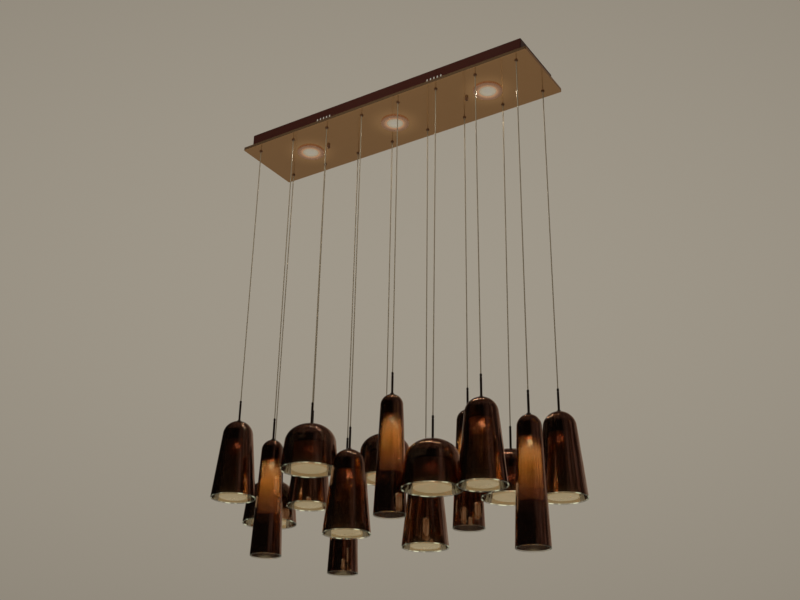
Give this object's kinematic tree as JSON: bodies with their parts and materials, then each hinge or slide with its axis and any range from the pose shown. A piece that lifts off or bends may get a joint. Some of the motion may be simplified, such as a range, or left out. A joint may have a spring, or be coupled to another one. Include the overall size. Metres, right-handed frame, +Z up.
{
  "type": "linear pendant light",
  "caption": "Long ceiling canopy with flush downlights and two rows of smoked glass shades hanging at staggered heights on thin cables.",
  "frame": {"origin": "middle of the ceiling face, on top of the ceiling bracket", "axes": "+Z up to the ceiling, +X along the canopy, -Y to the front row of shades"},
  "size_m": [1.0587, 0.3256, 1.403],
  "materials": {
    "champagne_plate": "mirror-polished champagne gold coating",
    "burgundy_paint": "gloss dark red-brown lacquer",
    "zinc_steel": "bright zinc plating",
    "dark_bronze": "dark bronze",
    "rose_copper": "satin rose copper anodising",
    "lit_lens": "frosted lens, lit",
    "cast_module": "die-cast aluminium",
    "black_nylon": "moulded black nylon",
    "driver_case": "moulded white case",
    "terminal_nylon": "natural nylon",
    "cable_sheath": "thin dark sheath",
    "dark_anodised": "dark bronze anodising",
    "smoked_glass": "smoked bronze metallised glass",
    "opal_diffuser": "opal glass, lit"
  },
  "bodies": {
    "canopy": {"cover_plate": "champagne_plate", "housing": "burgundy_paint", "ceiling_bracket": "zinc_steel", "bracket_studs": "zinc_steel", "cap_nuts": "dark_bronze", "downlight_bezels": "rose_copper", "downlight_lenses": "lit_lens", "downlight_modules": "cast_module", "downlight_lock_rings": "black_nylon", "cord_grips": "dark_bronze", "led_drivers": "driver_case", "terminal_block": "terminal_nylon"},
    "front_1": {"front_1_cable": "cable_sheath", "front_1_lamp_unit": "dark_anodised", "front_1_shade": "smoked_glass"},
    "front_2": {"front_2_cable": "cable_sheath", "front_2_lamp_unit": "dark_anodised", "front_2_shade": "smoked_glass"},
    "front_3": {"front_3_cable": "cable_sheath", "front_3_lamp_unit": "dark_anodised", "front_3_shade": "smoked_glass"},
    "front_4": {"front_4_cable": "cable_sheath", "front_4_lamp_unit": "dark_anodised", "front_4_shade": "smoked_glass"},
    "front_5": {"front_5_cable": "cable_sheath", "front_5_lamp_unit": "dark_anodised", "front_5_shade": "smoked_glass"},
    "front_6": {"front_6_cable": "cable_sheath", "front_6_lamp_unit": "dark_anodised", "front_6_shade": "smoked_glass"},
    "front_7": {"front_7_cable": "cable_sheath", "front_7_lamp_unit": "dark_anodised", "front_7_shade": "smoked_glass"},
    "front_8": {"front_8_cable": "cable_sheath", "front_8_lamp_unit": "dark_anodised", "front_8_shade": "smoked_glass"},
    "back_1": {"back_1_cable": "cable_sheath", "back_1_lamp_unit": "dark_anodised", "back_1_shade": "smoked_glass"},
    "back_2": {"back_2_cable": "cable_sheath", "back_2_lamp_unit": "dark_anodised", "back_2_shade": "smoked_glass"},
    "back_3": {"back_3_cable": "cable_sheath", "back_3_lamp_unit": "dark_anodised", "back_3_shade": "smoked_glass"},
    "back_4": {"back_4_cable": "cable_sheath", "back_4_lamp_unit": "dark_anodised", "back_4_shade": "smoked_glass"},
    "back_5": {"back_5_cable": "cable_sheath", "back_5_lamp_unit": "dark_anodised", "back_5_shade": "smoked_glass"},
    "back_6": {"back_6_cable": "cable_sheath", "back_6_lamp_unit": "dark_anodised", "back_6_shade": "smoked_glass"},
    "back_7": {"back_7_cable": "cable_sheath", "back_7_lamp_unit": "dark_anodised", "back_7_shade": "smoked_glass"},
    "back_8": {"back_8_cable": "cable_sheath", "back_8_lamp_unit": "dark_anodised", "back_8_shade": "smoked_glass"}
  },
  "joints": [
    {"name": "front_1_swing", "type": "hinge", "parent": "canopy", "child": "front_1", "pos_m": [-0.455, -0.085, -0.06], "axis": [1, 0, 0], "range_deg": [-20, 1.5]},
    {"name": "front_2_swing", "type": "hinge", "parent": "canopy", "child": "front_2", "pos_m": [-0.325, -0.085, -0.06], "axis": [1, 0, 0], "range_deg": [-20, 3.5]},
    {"name": "front_3_swing", "type": "hinge", "parent": "canopy", "child": "front_3", "pos_m": [-0.195, -0.085, -0.06], "axis": [1, 0, 0], "range_deg": [-20, 3]},
    {"name": "front_4_swing", "type": "hinge", "parent": "canopy", "child": "front_4", "pos_m": [-0.065, -0.085, -0.06], "axis": [1, 0, 0], "range_deg": [-20, 2.4]},
    {"name": "front_5_swing", "type": "hinge", "parent": "canopy", "child": "front_5", "pos_m": [0.065, -0.085, -0.06], "axis": [1, 0, 0], "range_deg": [-20, 3.1]},
    {"name": "front_6_swing", "type": "hinge", "parent": "canopy", "child": "front_6", "pos_m": [0.195, -0.085, -0.06], "axis": [1, 0, 0], "range_deg": [-20, 2.4]},
    {"name": "front_7_swing", "type": "hinge", "parent": "canopy", "child": "front_7", "pos_m": [0.325, -0.085, -0.06], "axis": [1, 0, 0], "range_deg": [-20, 1.3]},
    {"name": "front_8_swing", "type": "hinge", "parent": "canopy", "child": "front_8", "pos_m": [0.455, -0.085, -0.06], "axis": [1, 0, 0], "range_deg": [-20, 3.2]},
    {"name": "back_1_swing", "type": "hinge", "parent": "canopy", "child": "back_1", "pos_m": [-0.455, 0.085, -0.06], "axis": [1, 0, 0], "range_deg": [-1.5, 20]},
    {"name": "back_2_swing", "type": "hinge", "parent": "canopy", "child": "back_2", "pos_m": [-0.325, 0.085, -0.06], "axis": [1, 0, 0], "range_deg": [-3.5, 20]},
    {"name": "back_3_swing", "type": "hinge", "parent": "canopy", "child": "back_3", "pos_m": [-0.195, 0.085, -0.06], "axis": [1, 0, 0], "range_deg": [-3, 20]},
    {"name": "back_4_swing", "type": "hinge", "parent": "canopy", "child": "back_4", "pos_m": [-0.065, 0.085, -0.06], "axis": [1, 0, 0], "range_deg": [-2.4, 20]},
    {"name": "back_5_swing", "type": "hinge", "parent": "canopy", "child": "back_5", "pos_m": [0.065, 0.085, -0.06], "axis": [1, 0, 0], "range_deg": [-3.1, 20]},
    {"name": "back_6_swing", "type": "hinge", "parent": "canopy", "child": "back_6", "pos_m": [0.195, 0.085, -0.06], "axis": [1, 0, 0], "range_deg": [-2.4, 20]},
    {"name": "back_7_swing", "type": "hinge", "parent": "canopy", "child": "back_7", "pos_m": [0.325, 0.085, -0.06], "axis": [1, 0, 0], "range_deg": [-1.3, 20]},
    {"name": "back_8_swing", "type": "hinge", "parent": "canopy", "child": "back_8", "pos_m": [0.455, 0.085, -0.06], "axis": [1, 0, 0], "range_deg": [-3.3, 20]}
  ]
}
